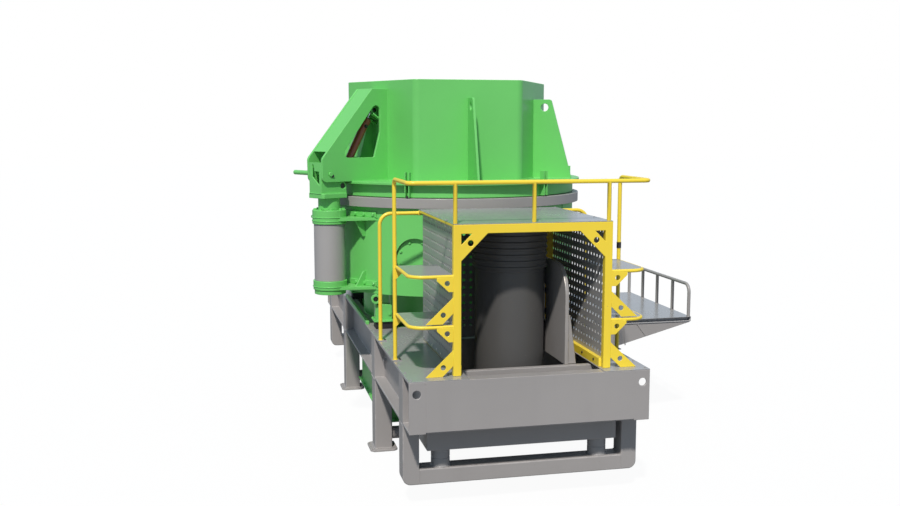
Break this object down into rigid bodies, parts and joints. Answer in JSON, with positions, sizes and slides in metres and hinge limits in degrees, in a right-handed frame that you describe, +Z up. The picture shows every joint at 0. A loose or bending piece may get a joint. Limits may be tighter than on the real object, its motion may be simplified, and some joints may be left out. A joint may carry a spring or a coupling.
{
  "type": "vertical shaft impact crusher",
  "caption": "Vertical shaft impact crusher on a long steel frame: round body, swing-away lid with hexagonal feed hopper and lift arm, guarded drive motors, steps and side platform.",
  "frame": {"origin": "on the crusher's vertical axis at ground level, where the foot plates stand", "axes": "+X across the machine towards the side platform, +Y along the frame to the rear motor, +Z up"},
  "size_m": [4.2128, 6.46, 3.72],
  "materials": {
    "body_green": "satin green enamel on welded steel plate",
    "frame_grey": "satin warm grey enamel on welded steel",
    "safety_yellow": "satin yellow enamel on steel tube and angle",
    "deck_grey": "cool grey painted deck plate",
    "motor_grey": "dark grey painted motor frame",
    "ram_red": "red-brown primer paint",
    "rod_chrome": "hard chromed and ground",
    "pin_steel": "turned steel",
    "pad_rubber": "black moulded rubber",
    "buffer_rubber": "grey painted buffer can"
  },
  "bodies": {
    "frame": {"side_beams": "frame_grey", "end_beams": "frame_grey", "cross_beams": "frame_grey", "deck_plates": "deck_grey", "legs": "frame_grey", "foot_plates": "frame_grey", "leg_ties": "frame_grey", "end_portals": "frame_grey", "buffers": "buffer_rubber", "drive_boxes": "frame_grey", "discharge_chute": "body_green", "base_rails": "body_green", "foot_pads": "pad_rubber", "body_feet": "body_green", "lower_drum": "body_green", "body_shell": "body_green", "body_ring": "frame_grey", "hatch_cover": "body_green", "column_brackets": "body_green", "column_tube": "frame_grey", "motors": "motor_grey", "motor_seats": "frame_grey", "guard_frames": "safety_yellow", "guard_panels": "frame_grey", "guard_roofs": "deck_grey", "handrails": "safety_yellow", "steps": "deck_grey", "step_braces": "safety_yellow", "platform_floor": "deck_grey", "platform_brackets": "frame_grey", "platform_rail": "frame_grey"},
    "lid": {"rod_pin": "pin_steel", "arm_plates": "body_green", "arm_cover": "body_green", "arm_lugs": "body_green", "lid_hopper": "body_green", "lid_disc": "body_green", "lid_fins": "body_green", "lid_clamps": "body_green"},
    "swing_head": {"swing_neck": "body_green", "pivot_head": "body_green", "hinge_pin": "body_green", "barrel_pin": "pin_steel"},
    "lift_barrel": {"lift_barrel": "ram_red"},
    "lift_rod": {"lift_rod": "rod_chrome"}
  },
  "joints": [
    {"name": "lid_swing", "type": "hinge", "parent": "frame", "child": "swing_head", "pos_m": [-1.42721, -0.824, 2.4], "axis": [0, 0, 1], "range_deg": [0, 120]},
    {"name": "lid_lift", "type": "hinge", "parent": "swing_head", "child": "lid", "pos_m": [-1.48956, -0.86, 2.772], "axis": [0.5, -0.866, 0], "range_deg": [0, 6]},
    {"name": "lift_tilt", "type": "hinge", "parent": "swing_head", "child": "lift_barrel", "pos_m": [-1.33801, -0.7725, 2.648], "axis": [0.5, -0.866, 0], "range_deg": [0, 6.2]},
    {"name": "lift_stroke", "type": "slide", "parent": "lift_barrel", "child": "lift_rod", "axis": [0.4382, 0.253, 0.8625], "range_m": [0, 0.024]}
  ],
  "couplings": [
    {"joint": "lift_tilt", "follows": "lid_lift", "ratio": 0.96759},
    {"joint": "lift_stroke", "follows": "lid_lift", "m_per_rad": 0.21239}
  ]
}
